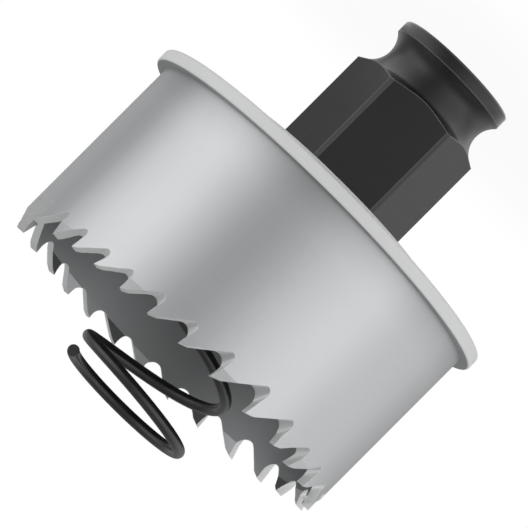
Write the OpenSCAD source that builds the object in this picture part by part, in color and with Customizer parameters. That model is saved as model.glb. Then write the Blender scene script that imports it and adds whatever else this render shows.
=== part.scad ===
// Hole saw with a quick-change hexagon hub and an ejector spring.
// The tool stands on the end face of its hub, with the teeth up. The Z axis is the axis of rotation
// and Z = 0 is that end face.

/* [Cup] */
// Outer diameter of the toothed cup, before its teeth are set
cup_d = 55.8; // [44:0.1:72]
// Wall thickness of the cup
cup_wall = 1.25; // [1:0.05:1.6]
// Depth of the cup, from the tooth tips to the front face of the back plate
cup_depth = 28.45; // [20:0.05:40]

/* [Teeth] */
// How many times the group of ten teeth repeats round the mouth
tooth_groups = 3; // [2:1:4]
// How far a set tooth leans out or in at its tip
set_offset = 0.6; // [0.3:0.05:0.7]
// Hook of the rake faces, in degrees
hook_angle = 9.5; // [4:0.5:12]
// Slope of the relief behind each tip, in degrees
relief_angle = 20; // [12:1:24]
// Length of the relief, as a share of the pitch
relief_share = 0.2; // [0.15:0.01:0.24]
// Radius of a gullet's root on the outside of the wall, as a share of the pitch
root_outside = 0.12; // [0.09:0.01:0.15]
// Radius of a gullet's root on the inside of the wall, as a share of the pitch
root_inside = 0.245; // [0.2:0.005:0.26]
// Depth of a gullet on the inside of the wall, as a share of its depth on the outside
depth_inside = 0.7; // [0.65:0.01:0.85]

/* [Back plate] */
// Thickness of the pressed plate
plate_t = 2; // [1.5:0.1:2.6]
// How far the rim stands proud of the cup
rim_proud = 1.68; // [0.8:0.02:3]
// Rounding of the rim's two edges
rim_round = 0.4; // [0.2:0.05:0.6]
// Diameter of the raised seat behind the plate
seat_d = 37.8; // [31:0.1:42]
// Height of the raised seat, and the depth of the recess in front of it
seat_rise = 1.7; // [1:0.1:2.4]
// Rounding of the seat's outer edge and of the recess's edge
seat_round = 0.3; // [0.1:0.05:0.5]

/* [Hub] */
// Size of the hexagon across its flats
hex_af = 19; // [15.5:0.5:23]
// How much is turned off each corner of the hexagon, measured along the radius
corner_cut = 0.21; // [0.1:0.01:0.6]
// Length of the hub behind the raised seat
hub_length = 24.25; // [20:0.05:40]
// How far the flats stand proud of the end collar
collar_step = 0.11; // [0.05:0.01:0.5]
// Distance from the end face to the middle of the locking groove
groove_z = 4.62; // [4:0.02:7]
// Depth of the locking groove below the flats
groove_depth = 1.31; // [0.8:0.01:2]
// Radius of the groove's round section
groove_r = 3.8; // [3:0.1:4.6]
// How far the spigot through the plate stands back from the flats
spigot_step = 0.6; // [0.5:0.05:1.5]
// How far the spigot rises above the floor of the recess
spigot_rise = 4; // [2:0.1:6]
// Diameter of the bore for the pilot drill
bore_d = 9; // [6:0.1:11]
// Bevel at both mouths of the bore and at the spigot's edge
bore_bevel = 0.5; // [0.2:0.1:0.8]
// Bevel at the edge of the end face
end_bevel = 0.2; // [0.1:0.05:0.5]

/* [Ejector spring] */
// Diameter of the wire
wire_d = 1.7; // [1.3:0.05:2.2]
// How far the spring stands out past the tooth tips
spring_reach = 8.3; // [4:0.1:14]
// Number of turns, with the closed turn at each end
spring_turns = 4.85; // [4:0.05:6]
// Turns that lie flat at the base
base_turns = 0.9; // [0.8:0.05:1]
// Turns that lie flat at the free end
free_turns = 0.5; // [0.4:0.05:0.8]
// Turns over which the wire bends from flat to its full pitch
bend_turns = 0.6; // [0.3:0.05:0.7]

/* [Clearances] */
// Gap round the spigot where it passes through the plate
spigot_gap = 0.05; // [0.02:0.01:0.2]
// Gap between the spigot and the turns of the spring round it
grip_gap = 0.1; // [0.06:0.01:0.4]
// Gap between the lowest turn of the spring and the floor of the recess
floor_gap = 0.05; // [0.02:0.01:0.2]

/* [Hidden] */
$fn = 144;

// Pitches of one group of teeth, in degrees, and the depth of the gullet behind each, in
// millimetres. Both swell and shrink once in each group, so that the saw runs without chatter.
group_pitches = [9.8, 11.4, 12, 13.1, 14.4, 13.4, 12.3, 11.1, 11.5, 11];
gullet_depths = [2.9, 3.4, 3.7, 4.3, 4.7, 4.2, 3.7, 3.5, 3.1, 2.9];
// How much of the set each tooth in turn has: out, in and, by a hair, straight. A top without any
// set would share the wall's round faces and doesn't join it.
set_pattern = [1, -1, 0.02];
// Direction of the first tooth's tip
first_tip = -55.6;
// How far a cutting shape runs past what it cuts
overrun = 0.6;
// How far the space of a gullet runs past the set teeth, inside and outside the cup
side_room = 0.3;
// How far the bent tops stand past the tips before the gullets are cut
tip_room = 0.2;
// Opening between the bent tops of neighbouring teeth before the gullets are cut, in degrees
sector_gap = 0.3;
// Height of the bend of the set, as a share of the shallowest gullet's depth inside the wall
bend_share = 0.95;
// Least radius of a gullet's root, where its cone runs on past the wall, as a share of the pitch
least_root = 0.02;
// Flats in the root of a gullet
root_steps = 8;
// Height that the wire gains in a closed turn, at the base and at the free end, as a share of its
// diameter
base_climb = 1;
free_climb = 0.3;
// Sides of the spring's wire, and rings of points in each of its turns
wire_sides = 16;
rings_per_turn = 32;

// Levels along the axis, from the hub to the teeth
floor_z = hub_length + plate_t;
flange_back_z = hub_length + seat_rise;
flange_z = flange_back_z + plate_t;
tips_z = flange_z + cup_depth;

// Radii
cup_r = cup_d / 2;
cup_inner_r = cup_r - cup_wall;
rim_r = cup_r + rim_proud;
seat_r = seat_d / 2;
recess_r = seat_r - plate_t;
flat_r = hex_af / 2;
corner_r = flat_r / cos(30) - corner_cut;
collar_r = flat_r - collar_step;
groove_floor_r = flat_r - groove_depth;
spigot_r = flat_r - spigot_step;
bore_r = bore_d / 2;

// Teeth
group_size = len(group_pitches);
tooth_count = tooth_groups * group_size;
degree_share = 360 / tooth_groups / sum_of(group_pitches, group_size);
set_height = bend_share * depth_inside * min(gullet_depths);

// Spring. Its wire climbs slowly in the closed turns and at one steady pitch between them.
coil_r = spigot_r + grip_gap + wire_d / 2;
base_pitch = base_climb * wire_d;
free_pitch = free_climb * wire_d;
wire_start_z = floor_z + floor_gap + wire_d / 2;
wire_end_z = tips_z + spring_reach - wire_d / 2;
open_from = base_turns;
open_to = spring_turns - free_turns;
main_pitch = (wire_end_z - wire_start_z
    - base_pitch * (open_from + bend_turns / 2)
    - free_pitch * (spring_turns - open_to + bend_turns / 2)) / (open_to - open_from - bend_turns);

function sum_of(list, count) = count == 0 ? 0 : list[count - 1] + sum_of(list, count - 1);

// Direction of a tooth's tip, and the arc along the outside of the wall to the next tip
function tip_angle(tooth) =
    first_tip - floor(tooth / group_size) * 360 / tooth_groups
    - degree_share * sum_of(group_pitches, tooth % group_size);
function pitch_arc(tooth) = degree_share * group_pitches[tooth % group_size] * PI / 180 * cup_r;
function gullet_depth(tooth) = gullet_depths[tooth % group_size];

// Centre of a gullet's root, as arc behind the tip and depth below it. The root touches the rake
// face of the next tooth, which leans by the hook angle.
function root_centre(pitch, depth, root_r) =
    [pitch + tan(hook_angle) * (depth - root_r) - root_r / cos(hook_angle), depth - root_r];

// Direction of the lowest place of a tooth's gullet on the inside of the wall
function root_direction(tooth) =
    let (
        pitch = pitch_arc(tooth),
        root = root_centre(pitch, depth_inside * gullet_depth(tooth), root_inside * pitch)
    )
    tip_angle(tooth) - root.x / cup_r * 180 / PI;

// Outline of a gullet, from above its own tip down the relief and the back, round the root, up the
// rake face of the next tooth and half the way back
function gullet_outline(pitch, depth, root_r) =
    let (
        relief_end = relief_share * pitch * [1, tan(relief_angle)],
        centre = root_centre(pitch, depth, root_r),
        run = centre - relief_end,
        back_slope = atan2(run.y, run.x) + asin(root_r / norm(run)),
        back_end = centre + root_r * [-sin(back_slope), cos(back_slope)],
        turned = 90 + back_slope + hook_angle
    )
    concat(
        [
            [-2 * tip_room, -2 * tip_room],
            [-2 * tip_room, -2 * tip_room * tan(relief_angle)],
            relief_end,
            (relief_end + back_end) / 2
        ],
        [
            for (step = [0 : root_steps])
                let (direction = 90 + back_slope - turned * step / root_steps)
                centre + root_r * [cos(direction), sin(direction)]
        ],
        [
            [pitch - 2 * tip_room * tan(hook_angle), -2 * tip_room],
            [pitch / 2, -2 * tip_room]
        ]
    );

// An outline wrapped round the axis at one radius, with the tip at the given direction
function wrapped(outline, tip, radius) = [
    for (point = outline)
        let (direction = tip - point.x / cup_r * 180 / PI)
        [radius * cos(direction), radius * sin(direction), tips_z - point.y]
];

// Three-cornered faces between rings of points, each ring with the given number of points
function band_faces(rings, count) = [
    for (ring = [0 : rings - 2], i = [0 : count - 1])
        let (
            a = ring * count + i,
            b = ring * count + (i + 1) % count
        )
        each [[a, a + count, b + count], [a, b + count, b]]
];

// The space of one gullet. Its root is a cone: wide and shallow on the inside of the wall, tight
// and deep on the outside. Its other faces point at the axis.
module gullet(tooth) {
    pitch = pitch_arc(tooth);
    depth = gullet_depth(tooth);
    tip = tip_angle(tooth);
    // A point from which the whole outline is in sight, halfway along, so that the flats of the two
    // end faces stay clear of the set teeth on a large cup too
    middle = [[pitch / 2, 0]];
    // Lines from the inside of the wall to its outside run on past the set teeth on both sides
    past = (set_offset + side_room) / cup_wall;
    near = gullet_outline(
        pitch,
        depth * (depth_inside - past * (1 - depth_inside)),
        pitch * (root_inside + past * (root_inside - root_outside))
    );
    far = gullet_outline(
        pitch,
        depth * (1 + past * (1 - depth_inside)),
        pitch * max(least_root, root_outside - past * (root_inside - root_outside))
    );
    near_r = cup_inner_r - set_offset - side_room;
    far_r = cup_r + set_offset + side_room;
    count = len(near);
    points = concat(
        wrapped(near, tip, near_r),
        wrapped(far, tip, far_r),
        wrapped(middle, tip, near_r),
        wrapped(middle, tip, far_r)
    );
    near_middle = 2 * count;
    far_middle = near_middle + 1;
    polyhedron(points, concat(
        band_faces(2, count),
        [for (i = [0 : count - 1]) [near_middle, (i + 1) % count, i]],
        [for (i = [0 : count - 1]) [far_middle, count + i, count + (i + 1) % count]]
    ));
}

// The bent top of one tooth before the gullets are cut, from the middle of the gullet before it to
// the middle of its own
module bent_top(tooth) {
    before = (tooth + tooth_count - 1) % tooth_count;
    from = root_direction(tooth) + sector_gap;
    to = root_direction(before) - sector_gap;
    top_share = (set_height + tip_room) / set_height;
    lean = set_pattern[tooth % len(set_pattern)] * set_offset * top_share;
    rotate_extrude(angle = (to - from + 360) % 360, start = from)
        polygon([
            [cup_inner_r, tips_z - set_height],
            [cup_r, tips_z - set_height],
            [cup_r + lean, tips_z + tip_room],
            [cup_inner_r + lean, tips_z + tip_room]
        ]);
}

// The wall up to the bend of its teeth, with the roots of the gullets in its edge. Neighbouring
// gullets cross above the tips, so every other one is cut first.
module gulleted_wall() {
    difference() {
        difference() {
            translate([0, 0, flange_z])
                linear_extrude(tips_z - set_height - flange_z)
                    difference() {
                        circle(cup_r);
                        circle(cup_inner_r);
                    }
            for (tooth = [0 : 2 : tooth_count - 1])
                gullet(tooth);
        }
        for (tooth = [1 : 2 : tooth_count - 1])
            gullet(tooth);
    }
}

// The steel band, welded to the back plate: a wall with the bent top of each tooth on it
module saw_cup() {
    color("silver") {
        gulleted_wall();
        for (tooth = [0 : tooth_count - 1])
            difference() {
                bent_top(tooth);
                gullet(tooth);
                gullet((tooth + tooth_count - 1) % tooth_count);
            }
    }
}

// A section across a disc from the axis outwards, with its outer edges rounded as asked
module disc_section(radius, from_z, to_z, low_round, high_round) {
    low_z = from_z + low_round;
    high_z = to_z - high_round;
    translate([0, low_z])
        square([radius, high_z - low_z]);
    if (low_round > 0) {
        translate([0, from_z])
            square([radius - low_round, low_round]);
        translate([radius - low_round, low_z])
            intersection() {
                circle(low_round);
                translate([0, -low_round])
                    square(low_round);
            }
    }
    if (high_round > 0) {
        translate([0, high_z])
            square([radius - high_round, high_round]);
        translate([radius - high_round, high_z])
            intersection() {
                circle(high_round);
                square(high_round);
            }
    }
}

// The pressed plate: a flange with a round rim, and a seat pressed out of it towards the hub
module back_plate() {
    color("silver")
        rotate_extrude()
            difference() {
                union() {
                    disc_section(rim_r, flange_back_z, flange_z, rim_round, rim_round);
                    disc_section(seat_r, hub_length, flange_back_z, seat_round, 0);
                }
                disc_section(recess_r, floor_z, flange_z, seat_round, 0);
                translate([0, hub_length - overrun])
                    square([spigot_r + spigot_gap, plate_t + 2 * overrun]);
            }
}

// The turned hub: end collar, locking groove, hexagon and the spigot through the plate
module hex_hub() {
    bevel_past = overrun + bore_bevel;
    color("#2a2a2c")
        difference() {
            union() {
                cylinder(h = end_bevel, r1 = collar_r - end_bevel, r2 = collar_r);
                translate([0, 0, end_bevel])
                    cylinder(h = groove_z - end_bevel, r = collar_r);
                translate([0, 0, groove_z])
                    // One flat faces -Y
                    intersection() {
                        cylinder(h = hub_length - groove_z, r = flat_r / cos(30), $fn = 6);
                        cylinder(h = hub_length - groove_z, r = corner_r);
                    }
                translate([0, 0, groove_z])
                    cylinder(h = floor_z + spigot_rise - bore_bevel - groove_z, r = spigot_r);
                translate([0, 0, floor_z + spigot_rise - bore_bevel])
                    cylinder(h = bore_bevel, r1 = spigot_r, r2 = spigot_r - bore_bevel);
            }
            translate([0, 0, groove_z])
                rotate_extrude()
                    translate([groove_floor_r + groove_r, 0])
                        circle(groove_r);
            translate([0, 0, -overrun])
                cylinder(h = floor_z + spigot_rise + 2 * overrun, r = bore_r);
            translate([0, 0, -overrun])
                cylinder(h = bevel_past, r1 = bore_r + bevel_past, r2 = bore_r);
            translate([0, 0, floor_z + spigot_rise - bore_bevel])
                cylinder(h = bevel_past, r1 = bore_r, r2 = bore_r + bevel_past);
        }
}

// Turns climbed at full pitch, when the pitch grows evenly over the bend of the wire
function climbed(turns) =
    turns <= 0 ? 0 : turns < bend_turns ? turns * turns / bend_turns / 2 : turns - bend_turns / 2;
// Share of the full pitch that the wire has at a turn
function bent(turns) = min(1, max(0, turns / bend_turns));

// Height of the middle of the wire, and the height it gains in a turn, at each place on the coil
function wire_z(turn) =
    wire_start_z + base_pitch * turn
    + (main_pitch - base_pitch) * climbed(turn - open_from)
    - (main_pitch - free_pitch) * climbed(turn - open_to + bend_turns);
function wire_pitch(turn) =
    base_pitch + (main_pitch - base_pitch) * bent(turn - open_from)
    - (main_pitch - free_pitch) * bent(turn - open_to + bend_turns);

// One ring of points round the wire, square to its run. The coil is left-handed and ends at +X.
function wire_ring(turn) =
    let (
        direction = 360 * (spring_turns - turn),
        climb = atan(wire_pitch(turn) / (2 * PI * coil_r))
    )
    [
        for (side = [0 : wire_sides - 1])
            let (
                across = wire_d / 2 * cos(360 * side / wire_sides),
                along = wire_d / 2 * sin(360 * side / wire_sides)
            )
            [
                (coil_r + across) * cos(direction) - along * sin(climb) * sin(direction),
                (coil_r + across) * sin(direction) + along * sin(climb) * cos(direction),
                wire_z(turn) + along * cos(climb)
            ]
    ];

// The ejector spring, which stands on the floor of the recess round the spigot
module ejector_spring() {
    rings = ceil(spring_turns * rings_per_turn);
    points = [for (ring = [0 : rings]) each wire_ring(spring_turns * ring / rings)];
    last_ring = rings * wire_sides;
    color("#1b1b1c")
        polyhedron(points, concat(
            band_faces(rings + 1, wire_sides),
            [[for (side = [0 : wire_sides - 1]) side]],
            [[for (side = [wire_sides - 1 : -1 : 0]) last_ring + side]]
        ));
}

saw_cup();
back_plate();
hex_hub();
ejector_spring();
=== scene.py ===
import math

import bmesh
import bpy
from mathutils import Matrix, Vector


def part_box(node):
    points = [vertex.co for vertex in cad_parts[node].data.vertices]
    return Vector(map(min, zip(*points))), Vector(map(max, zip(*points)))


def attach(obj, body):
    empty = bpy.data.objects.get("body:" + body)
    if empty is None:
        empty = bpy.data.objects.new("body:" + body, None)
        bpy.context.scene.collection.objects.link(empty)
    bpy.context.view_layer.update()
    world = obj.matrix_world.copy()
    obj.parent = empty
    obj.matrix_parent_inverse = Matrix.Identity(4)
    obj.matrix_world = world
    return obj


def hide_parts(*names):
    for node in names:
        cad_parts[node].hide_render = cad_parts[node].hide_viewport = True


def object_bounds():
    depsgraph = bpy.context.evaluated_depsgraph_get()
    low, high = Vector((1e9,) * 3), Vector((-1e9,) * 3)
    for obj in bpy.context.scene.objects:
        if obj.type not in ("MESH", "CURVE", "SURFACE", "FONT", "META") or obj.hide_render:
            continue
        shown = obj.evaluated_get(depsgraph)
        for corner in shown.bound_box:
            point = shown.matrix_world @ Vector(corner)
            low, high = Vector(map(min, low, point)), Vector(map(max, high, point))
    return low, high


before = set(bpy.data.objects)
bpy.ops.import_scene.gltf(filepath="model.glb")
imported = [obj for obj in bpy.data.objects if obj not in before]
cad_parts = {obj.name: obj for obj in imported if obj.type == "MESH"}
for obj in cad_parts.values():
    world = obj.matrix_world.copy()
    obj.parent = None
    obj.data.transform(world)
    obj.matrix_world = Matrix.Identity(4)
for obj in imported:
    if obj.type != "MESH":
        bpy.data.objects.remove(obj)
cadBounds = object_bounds()
bpy.context.scene.view_settings.view_transform = "Standard"


# Shader maths: a socket that adds, subtracts, multiplies and divides

class Field:
    def __init__(self, board, socket):
        self.board = board
        self.socket = socket

    def __add__(self, other):
        return self.board.maths("ADD", self, other)

    def __sub__(self, other):
        return self.board.maths("SUBTRACT", self, other)

    def __rsub__(self, other):
        return self.board.maths("SUBTRACT", other, self)

    def __mul__(self, other):
        return self.board.maths("MULTIPLY", self, other)

    def __truediv__(self, other):
        return self.board.maths("DIVIDE", self, other)

    def __abs__(self):
        return self.board.maths("ABSOLUTE", self)

    __radd__ = __add__
    __rmul__ = __mul__


class Board:
    # the node tree of a material or of the world

    def __init__(self, owner):
        owner.use_nodes = True
        self.owner = owner
        self.tree = owner.node_tree

    def node(self, kind, settings=None, inputs=None, output=0):
        made = self.tree.nodes.new(kind)
        for name, value in (settings or {}).items():
            if name == "stops":
                self.fillRamp(made.color_ramp, value)
            else:
                setattr(made, name, value)
        for name, value in (inputs or {}).items():
            if isinstance(value, Field):
                self.tree.links.new(value.socket, made.inputs[name])
            else:
                made.inputs[name].default_value = value
        return Field(self, made.outputs[output])

    def fillRamp(self, ramp, stops):
        for _ in range(len(stops) - 2):
            ramp.elements.new(0.5)
        for element, (place, value) in zip(ramp.elements, stops):
            element.position = place
            element.color = grey(value)

    def maths(self, operation, first, second=0.0):
        return self.node("ShaderNodeMath", {"operation": operation}, {0: first, 1: second})

    def vector(self, operation, first, second=(0, 0, 0)):
        output = "Value" if operation in ("DOT_PRODUCT", "LENGTH") else 0
        return self.node("ShaderNodeVectorMath", {"operation": operation}, {0: first, 1: second}, output)

    def ramp(self, factor, stops, interpolation="EASE"):
        made = self.node("ShaderNodeValToRGB", {"stops": stops}, {0: factor})
        made.socket.node.color_ramp.interpolation = interpolation
        return made

    # rises smoothly from one result to the other while the value goes from low to high
    def step(self, value, low, high, start=0.0, end=1.0):
        return self.node("ShaderNodeMapRange", {"interpolation_type": "SMOOTHSTEP"}, {
            "Value": value, "From Min": low, "From Max": high, "To Min": start, "To Max": end})

    def blend(self, factor, first, second):
        return self.node("ShaderNodeMix", {"data_type": "RGBA"}, {0: factor, 6: first, 7: second}, output=2)

    def shade(self, colour, tone):
        return self.node("ShaderNodeVectorMath", {"operation": "SCALE"}, {0: colour, "Scale": tone})

    def split(self, vector, axis):
        return self.node("ShaderNodeSeparateXYZ", {}, {0: vector}, output=axis)

    def join(self, x, y, z):
        return self.node("ShaderNodeCombineXYZ", {}, {0: x, 1: y, 2: z})

    def noise(self, vector, scale, detail):
        return self.node("ShaderNodeTexNoise", {}, {"Vector": vector, "Scale": scale, "Detail": detail})

    # 1 for a ray of one of these kinds
    def ray(self, *kinds):
        rays = [self.node("ShaderNodeLightPath", output=f"Is {kind} Ray") for kind in kinds]
        return self.maths("MINIMUM", sum(rays[1:], rays[0]), 1.0)

    def bump(self, height, depth, under=None):
        inputs = {"Height": height, "Distance": depth, "Strength": 1.0}
        if under:
            inputs["Normal"] = under
        return self.node("ShaderNodeBump", {}, inputs)


class Paint(Board):
    # a material, with what is the same all over it set on its shader

    def __init__(self, name, **constants):
        super().__init__(bpy.data.materials.new(name))
        self.shader = self.tree.nodes["Principled BSDF"]
        for socket, value in constants.items():
            self.shader.inputs[socket.replace("_", " ")].default_value = value

    def feed(self, **fields):
        for socket, field in fields.items():
            self.tree.links.new(field.socket, self.shader.inputs[socket.replace("_", " ")])

    def where(self, stretch=(1, 1, 1)):
        here = self.node("ShaderNodeTexCoord", output="Object")
        return self.vector("MULTIPLY", here, stretch)

    # how far the surface faces away from the axis of rotation: 1 outwards, -1 inwards, 0 square to it
    def outward(self):
        flat = self.vector("NORMALIZE", self.where((1, 1, 0)))
        return self.vector("DOT_PRODUCT", self.node("ShaderNodeTexCoord", output="Normal"), flat)

    # fine lines round the axis, as a lathe or a roll leaves them: the same all the way round, nearly
    def lines(self, scale, drift=0.04, detail=4.0):
        radius = self.vector("LENGTH", self.where((1, 1, 0)))
        height = self.split(self.where(), "Z")
        change = self.split(self.where((drift, drift, drift)), "X")
        return self.noise(self.join(radius, height, change), scale, detail)

    # edges rounded by light alone
    def softEdge(self, radius, samples=8):
        return self.node("ShaderNodeBevel", {"samples": samples}, {"Radius": radius})

    # 1 along the edges that softEdge rounds and 0 away from them
    def nearEdge(self, softened, low, high):
        sharp = self.node("ShaderNodeNewGeometry", output="Normal")
        return self.step(self.vector("LENGTH", self.vector("SUBTRACT", softened, sharp)), low, high)

    def on(self, piece):
        if piece.material_slots:
            for slot in piece.material_slots:
                slot.material = self.owner
        else:
            piece.data.materials.append(self.owner)


def grey(value):
    return (value, value, value, 1)


# Camera: a few degrees off square to the axis, rolled so that the teeth point down and to the left

cameraLook = {
    "rise": 7.09,        # degrees above the back plate, towards the teeth
    "roll": 135.0,       # degrees that the axis leans from straight up in the picture
    "across": 0.07125,   # width of the frame at the axis
    "aim": (-0.00007, 0.0, 0.03727),
    "sensor": 36.0,
    "lens": 1500.0,
    "clip": (0.1, 3.0),  # as shares of the distance to the axis
}


def addCamera(look):
    rise = math.radians(look["rise"])
    roll = math.radians(look["roll"])
    toCamera = Vector((0, -math.cos(rise), math.sin(rise)))
    axisUp = Vector((0, math.sin(rise), math.cos(rise)))
    axisRight = axisUp.cross(toCamera)
    right = axisRight * math.cos(roll) - axisUp * math.sin(roll)
    up = axisRight * math.sin(roll) + axisUp * math.cos(roll)
    distance = look["across"] * look["lens"] / look["sensor"]
    data = bpy.data.cameras.new("camera")
    data.sensor_width = look["sensor"]
    data.lens = look["lens"]
    data.clip_start = distance * look["clip"][0]
    data.clip_end = distance * look["clip"][1]
    camera = bpy.data.objects.new("camera", data)
    turn = Matrix((right, up, toCamera)).transposed().to_4x4()
    camera.matrix_world = Matrix.Translation(Vector(look["aim"]) + toCamera * distance) @ turn
    bpy.context.scene.collection.objects.link(camera)
    bpy.context.scene.camera = camera


addCamera(cameraLook)
print("camera set")


# Cup: bare steel band, satin on its walls and freshly ground where the teeth are cut

cupLook = {
    "wall": (0.60, 0.612, 0.62),
    # painted shade: the inside of the cup has a darker colour than the outside
    "inside": (0.47, 0.48, 0.487),
    "cut": (0.84, 0.845, 0.85),
    # painted highlight: a lighter colour along the rounded edges
    "edge": (0.9, 0.9, 0.9),
    "wallRoughness": 0.41,
    "cutRoughness": 0.5,
    "cutMetal": 0.45,
    "edgeWidth": 0.0001,
    "lines": 5200.0,      # per metre
    "grain": 2600.0,
    "relief": 0.0000015,
    "drawn": (0.35, 0.25),          # strength and direction of the rolled grain
    "wallFrom": (0.55, 0.85),       # how squarely a face looks outwards or inwards to be wall
    "insideFrom": (-0.3, 0.3),
    "edgeFrom": (0.15, 0.6),        # how much of a rounded edge gets the painted highlight
    "clouds": 45.0,
    "shade": (0.93, 0.08, 0.05),    # plain share of the colour, and what clouds and lines add
    "wallMetal": 0.92,
    "grainRoughness": 0.1,
    "lineRoughness": 0.12,
    "edgeGloss": 0.05,
    "shadeByPlate": 0.26,    # painted shade on the wall next to the back plate, where it is darkest
    "shadeByPlateReach": (-0.003, 0.006),   # heights about the foot of the wall between which that painted shade fades away
}


def paintCup(look):
    strength, rotation = look["drawn"]
    paint = Paint("cupSteel", Anisotropic=strength, Anisotropic_Rotation=rotation)
    outward = paint.outward()
    wall = paint.step(abs(outward), *look["wallFrom"])
    # painted shade: faces that look inwards get the darker inside colour
    sides = paint.blend(paint.step(outward, *look["insideFrom"]), look["inside"] + (1,), look["wall"] + (1,))
    lines = paint.lines(look["lines"])
    clouds = paint.noise(paint.where(), look["clouds"], detail=2)
    grain = paint.noise(paint.where(), look["grain"], detail=3)
    softened = paint.softEdge(look["edgeWidth"])
    edge = paint.nearEdge(softened, *look["edgeFrom"])
    # painted highlight: the rounded edges take a lighter colour
    colour = paint.blend(edge, paint.blend(wall, look["cut"] + (1,), sides), look["edge"] + (1,))
    roughness = look["cutRoughness"] + wall * (look["wallRoughness"] - look["cutRoughness"])
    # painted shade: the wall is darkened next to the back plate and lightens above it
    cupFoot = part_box("saw_cup")[0].z
    shadedFrom, shadedTo = (cupFoot + reach for reach in look["shadeByPlateReach"])
    awayFromPlate = paint.step(paint.split(paint.where(), "Z"), shadedFrom, shadedTo)
    plateShadeTone = 1 - look["shadeByPlate"] * (1 - awayFromPlate)
    plain, cloudy, lined = look["shade"]
    speckle = (grain - 0.5) * look["grainRoughness"] + (lines - 0.5) * look["lineRoughness"]
    paint.feed(
        Base_Color=paint.shade(colour, plateShadeTone * (plain + clouds * cloudy + lines * lined)),
        Metallic=look["cutMetal"] + wall * (look["wallMetal"] - look["cutMetal"]),
        Roughness=roughness + speckle - edge * look["edgeGloss"],
        Normal=paint.bump(grain + lines * wall, look["relief"], softened))
    paint.on(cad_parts["saw_cup"])


paintCup(cupLook)

# Back plate: pressed steel, plain on its faces, with painted light that makes its rim nearly white. It is
# turned here to the model's sizes in finer steps than the model's own, so that the light runs evenly round
# its edges.

plateLook = {
    "rimRadius": min(abs(side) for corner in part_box("back_plate") for side in corner[:2]),
    "backHeight": 0.02595,
    "frontHeight": 0.02795,
    "rimRound": 0.0004,
    "seatRadius": 0.0189,
    "seatHeight": 0.02425,
    "recessRadius": 0.0169,
    "recessHeight": 0.02625,
    "seatRound": 0.0003,
    "boreRadius": 0.00895,
    "steps": 8,           # in each rounding
    "segments": 360,
    "face": (0.50, 0.505, 0.51),
    # painted light: the rim is coloured nearly white against the mid grey faces
    "rim": (0.93, 0.935, 0.94),
    "roughness": 0.42,
    "rimRoughness": 0.5,
    "metal": 0.85,
    "rimMetal": 0.05,     # nearly matt, so that the painted light of the rim looks the same from every direction
    "rimFrom": (0.35, 0.75),        # how squarely a face looks outwards to be rim
    "clouds": 60.0,
    "shade": (0.94, 0.07, 0.05),    # plain share of the colour, and what clouds and lines add
    "lineRoughness": 0.12,
    "sharpAngle": 40.0,
    "lines": 4200.0,
    "grain": 2600.0,
    "relief": 0.000002,
}


# the outline of a turned piece, with its rounded corners in steps and a point close to each end of
# a rounding, which keeps the flats beside it flat to the light
def roundedOutline(corners, steps, support=0.00008):
    outline = []
    for index, (radius, height, rounding) in enumerate(corners):
        corner = Vector((radius, height))
        if not rounding:
            outline.append(corner)
            continue
        before = (Vector(corners[index - 1][:2]) - corner).normalized()
        after = (Vector(corners[(index + 1) % len(corners)][:2]) - corner).normalized()
        centre = corner + (before + after) * rounding
        outline.append(corner + before * (rounding + support))
        for step in range(steps + 1):
            angle = math.pi / 2 * step / steps
            outline.append(centre - after * rounding * math.cos(angle) - before * rounding * math.sin(angle))
        outline.append(corner + after * (rounding + support))
    return outline


def turnPlate(look):
    outline = roundedOutline([
        (look["boreRadius"], look["seatHeight"], 0),
        (look["seatRadius"], look["seatHeight"], look["seatRound"]),
        (look["seatRadius"], look["backHeight"], 0),
        (look["rimRadius"], look["backHeight"], look["rimRound"]),
        (look["rimRadius"], look["frontHeight"], look["rimRound"]),
        (look["recessRadius"], look["frontHeight"], 0),
        (look["recessRadius"], look["recessHeight"], look["seatRound"]),
        (look["boreRadius"], look["recessHeight"], 0)], look["steps"])
    form = bmesh.new()
    rings = []
    for segment in range(look["segments"]):
        angle = math.tau * segment / look["segments"]
        cosine, sine = math.cos(angle), math.sin(angle)
        rings.append([form.verts.new((point.x * cosine, point.x * sine, point.y)) for point in outline])
    for near, far in zip(rings, rings[1:] + rings[:1]):
        for index in range(len(outline)):
            after = (index + 1) % len(outline)
            form.faces.new((near[index], far[index], far[after], near[after]))
    bmesh.ops.recalc_face_normals(form, faces=form.faces)
    for face in form.faces:
        face.smooth = True
    mesh = bpy.data.meshes.new("backPlate")
    form.to_mesh(mesh)
    form.free()
    mesh.set_sharp_from_angle(angle=math.radians(look["sharpAngle"]))
    plate = bpy.data.objects.new("turned_plate", mesh)
    bpy.context.scene.collection.objects.link(plate)
    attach(plate, "root")
    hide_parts("back_plate")
    return plate


def paintPlate(look, plate):
    paint = Paint("plateSteel")
    rim = paint.step(paint.outward(), *look["rimFrom"])
    lines = paint.lines(look["lines"])
    clouds = paint.noise(paint.where(), look["clouds"], detail=2)
    grain = paint.noise(paint.where(), look["grain"], detail=3)
    # painted light: faces that look outwards, round the rim, get the nearly white colour
    colour = paint.blend(rim, look["face"] + (1,), look["rim"] + (1,))
    roughness = look["roughness"] + rim * (look["rimRoughness"] - look["roughness"])
    plain, cloudy, lined = look["shade"]
    paint.feed(
        Base_Color=paint.shade(colour, plain + clouds * cloudy + lines * lined),
        Metallic=look["metal"] + rim * (look["rimMetal"] - look["metal"]),
        Roughness=roughness + (lines - 0.5) * look["lineRoughness"],
        Normal=paint.bump(grain + lines, look["relief"]))
    paint.on(plate)


paintPlate(plateLook, turnPlate(plateLook))

# Hub: black oxide over turned and milled steel, with a thin film of oil

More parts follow.
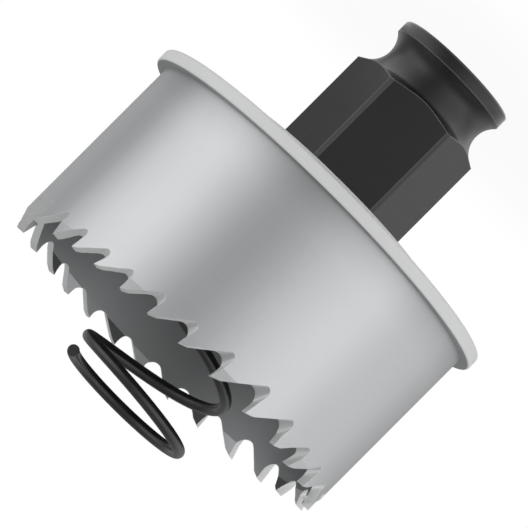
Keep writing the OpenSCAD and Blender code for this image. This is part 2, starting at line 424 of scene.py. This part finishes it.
hubLook = {
    "colour": 0.005,
    "wearAndHighlightTone": 0.2,          # painted highlight along the rounded edges, much lighter than the oxide
    "roughness": 0.24,
    "mottle": 420.0,
    "lines": 3600.0,
    "grain": 2600.0,
    "relief": 0.0000025,
    "edgeWidth": 0.00025,
    "edgeFrom": (0.05, 0.35),       # how much of a rounded edge gets the painted highlight
    "specular": 0.6,
    "shade": (0.75, 0.5),           # plain share of the colour, and what the mottling adds
    "blueness": 1.04,
    "mottleRoughness": 0.14,
    "lineRoughness": 0.14,
}


def paintHub(look):
    paint = Paint("blackSteel", Specular_IOR_Level=look["specular"])
    mottle = paint.noise(paint.where(), look["mottle"], detail=4)
    lines = paint.lines(look["lines"])
    grain = paint.noise(paint.where(), look["grain"], detail=3)
    softened = paint.softEdge(look["edgeWidth"])
    edge = paint.nearEdge(softened, *look["edgeFrom"])
    plain, mottled = look["shade"]
    # painted highlight: the colour grows much lighter along the rounded edges
    tone = (plain + mottle * mottled) * (look["colour"] + edge * (look["wearAndHighlightTone"] - look["colour"]))
    speckle = (mottle - 0.5) * look["mottleRoughness"] + (lines - 0.5) * look["lineRoughness"]
    paint.feed(
        Base_Color=paint.join(tone, tone, tone * look["blueness"]),
        Roughness=look["roughness"] + speckle,
        Normal=paint.bump(grain + lines, look["relief"], softened))
    paint.on(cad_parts["hex_hub"])


paintHub(hubLook)

# Spring: one round wire in place of the faceted one, of the same sizes, with closed turns at the hub
# and at its free end. The wire climbs slowly in the closed turns and at one steady pitch between them.

springLook = {
    "wire": 0.0017,
    "coil": 0.00985,      # radius to the middle of the wire
    "startHeight": 0.02715,
    "endHeight": 0.06385,
    "turns": 4.85,
    "closedTurns": (0.9, 0.5),
    "closedClimb": (1.0, 0.3),    # height gained in a closed turn, as a share of the wire
    "bendTurns": 0.6,
    "sides": 28,
    "ringsPerTurn": 64,
    "endRound": 0.00012,
    "endAngles": (30, 60, 90),      # degrees round the rounding of each end
    "colour": 0.009,
    "wearAndHighlightTone": 0.025,
    "wornFrom": (0.5, 0.85),        # how strong the mottling is where the oxide is thin
    "roughness": 0.32,
    "specular": 0.8,
    "blueness": 1.05,
    "mottle": 700.0,
    "lines": 5200.0,
    "grain": 2600.0,
    "mottleRoughness": 0.16,
    "lineRoughness": 0.1,
    "relief": 0.0000015,
}


# turns climbed at full pitch, when the pitch grows evenly over the bend of the wire
def climbed(turns, bend):
    if turns <= 0:
        return 0.0
    return turns * turns / bend / 2 if turns < bend else turns - bend / 2


def wireCentre(look, turn):
    openFrom, openTo = look["closedTurns"][0], look["turns"] - look["closedTurns"][1]
    base, free = (share * look["wire"] for share in look["closedClimb"])
    bend = look["bendTurns"]
    rise = look["endHeight"] - look["startHeight"]
    main = (rise - base * (openFrom + bend / 2) - free * (look["closedTurns"][1] + bend / 2)) / (
        openTo - openFrom - bend)
    height = (look["startHeight"] + base * turn + (main - base) * climbed(turn - openFrom, bend)
              - (main - free) * climbed(turn - openTo + bend, bend))
    direction = math.tau * (look["turns"] - turn)
    return Vector((look["coil"] * math.cos(direction), look["coil"] * math.sin(direction), height))


def bendSpring(look):
    form = bmesh.new()
    rings = []

    def addRing(turn, shift, radius, near=0.001):
        run = (wireCentre(look, turn + near) - wireCentre(look, turn - near)).normalized()
        centre = wireCentre(look, turn)
        outwards = Vector((centre.x, centre.y, 0)).normalized()
        across = run.cross(outwards).normalized()
        outwards = across.cross(run)
        corners = []
        for side in range(look["sides"]):
            angle = math.tau * side / look["sides"]
            offset = outwards * math.cos(angle) + across * math.sin(angle)
            corners.append(form.verts.new(centre + run * shift + offset * radius))
        rings.append(corners)

    radius, rounding = look["wire"] / 2, look["endRound"]
    for angle in reversed(look["endAngles"]):
        sine, cosine = math.sin(math.radians(angle)), math.cos(math.radians(angle))
        addRing(0, rounding * (1 - sine), radius - rounding + rounding * cosine)
    count = round(look["turns"] * look["ringsPerTurn"])
    for ring in range(count + 1):
        shift = rounding if ring == 0 else -rounding if ring == count else 0
        addRing(look["turns"] * ring / count, shift, radius)
    for angle in look["endAngles"]:
        sine, cosine = math.sin(math.radians(angle)), math.cos(math.radians(angle))
        addRing(look["turns"], -rounding * (1 - sine), radius - rounding + rounding * cosine)
    for near, far in zip(rings, rings[1:]):
        for side in range(look["sides"]):
            after = (side + 1) % look["sides"]
            form.faces.new((near[side], near[after], far[after], far[side]))
    form.faces.new(list(reversed(rings[0])))
    form.faces.new(rings[-1])
    bmesh.ops.recalc_face_normals(form, faces=form.faces)
    for face in form.faces:
        face.smooth = len(face.verts) == 4
    mesh = bpy.data.meshes.new("springWire")
    form.to_mesh(mesh)
    form.free()
    spring = bpy.data.objects.new("spring_wire", mesh)
    bpy.context.scene.collection.objects.link(spring)
    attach(spring, "root")
    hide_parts("ejector_spring")
    return spring


def paintSpring(look, spring):
    paint = Paint("springWire", Specular_IOR_Level=look["specular"])
    mottle = paint.noise(paint.where(), look["mottle"], detail=4)
    lines = paint.lines(look["lines"])
    grain = paint.noise(paint.where(), look["grain"], detail=3)
    tone = look["colour"] + paint.step(mottle, *look["wornFrom"]) * (look["wearAndHighlightTone"] - look["colour"])
    speckle = (mottle - 0.5) * look["mottleRoughness"] + (lines - 0.5) * look["lineRoughness"]
    paint.feed(
        Base_Color=paint.join(tone, tone, tone * look["blueness"]),
        Roughness=look["roughness"] + speckle,
        Normal=paint.bump(grain + lines, look["relief"]))
    paint.on(spring)


paintSpring(springLook, bendSpring(springLook))
print("finishes on")


# Floor and room. Both are white to the camera. Metal sees two wide soft lights at the sides of the
# camera, with a dim gap between them, a dim ceiling and a dim room behind the tool.

studio = {
    "floorRadius": 0.1,
    "floorGap": 0.00002,     # keeps it off the end face that stands on it
    "floorColour": 0.8,
    "floorRoughness": 0.9,
    "floorSides": 96,
    "shadowShare": 0.06,     # how much of the floor's own shading shows near the tool
    "shadowReach": (0.04, 0.1),     # distances from the axis between which it fades away
    # direction in degrees from the camera, clockwise seen from above, and the light from there
    "round": [
        (-180, 0.25), (-152, 0.58), (-122, 0.4), (-90, 1.2), (-64, 1.4), (-15, 0.42), (40, 1.15), (60, 1.3),
        (85, 0.9), (115, 0.9), (148, 0.55), (180, 0.25)],
    "belowHorizon": 0.7,     # share of that light straight down
    "belowFrom": (-1, -0.2),        # sines of the heights between which it grows to the whole
    "ceiling": 0.34,
    "ceilingFrom": (0.12, 0.75),    # sines of the heights between which the walls give way to it
}


def addFloor(look):
    mesh = bpy.data.meshes.new("floor")
    form = bmesh.new()
    bmesh.ops.create_circle(form, cap_ends=True, segments=look["floorSides"], radius=look["floorRadius"])
    form.to_mesh(mesh)
    form.free()
    floor = bpy.data.objects.new("floor", mesh)
    floor.location.z = cadBounds[0].z - look["floorGap"]
    bpy.context.scene.collection.objects.link(floor)
    paint = Paint("floorWhite", Base_Color=grey(look["floorColour"]), Roughness=look["floorRoughness"])
    matt = Field(paint, paint.shader.outputs[0])
    colour = paint.blend(paint.ray("Glossy"), grey(1), lightAround(paint, paint.where(), look))
    shown = paint.node("ShaderNodeEmission", {}, {"Color": colour, "Strength": 1.0})
    away = paint.vector("LENGTH", paint.where())
    shade = look["shadowShare"] * (1 - paint.step(away, *look["shadowReach"]))
    seen = paint.ray("Camera", "Glossy", "Transmission") * (1 - shade)
    upper = paint.node("ShaderNodeMixShader", {}, {0: seen, 1: matt, 2: shown})
    below = paint.node("ShaderNodeNewGeometry", output="Backfacing")    # nothing hides the tool from below
    clear = paint.node("ShaderNodeBsdfTransparent")
    surface = paint.node("ShaderNodeMixShader", {}, {0: below, 1: upper, 2: clear})
    paint.tree.links.new(surface.socket, paint.tree.nodes["Material Output"].inputs[0])
    paint.on(floor)


# what metal shows of the room in each direction in plan
def lightAround(board, direction, look):
    turn = board.maths("ARCTAN2", 0 - board.split(direction, "X"), 0 - board.split(direction, "Y"))
    return board.ramp(turn / math.tau + 0.5, [(angle / 360 + 0.5, light) for angle, light in look["round"]])


def lightRoom(look):
    world = bpy.data.worlds.new("studio")
    bpy.context.scene.world = world
    board = Board(world)
    direction = board.node("ShaderNodeTexCoord", output="Generated")
    sine = board.split(direction, "Z")
    height = board.step(sine, *look["belowFrom"], look["belowHorizon"], 1)
    walls = board.shade(lightAround(board, direction, look), height)
    room = board.blend(board.step(sine, *look["ceilingFrom"]), walls, grey(look["ceiling"]))
    colour = board.blend(board.ray("Camera", "Transmission"), room, grey(1))
    light = board.node("ShaderNodeBackground", {}, {"Color": colour, "Strength": 1.0})
    board.tree.links.new(light.socket, board.tree.nodes["World Output"].inputs[0])


addFloor(studio)
lightRoom(studio)
print("studio lit")
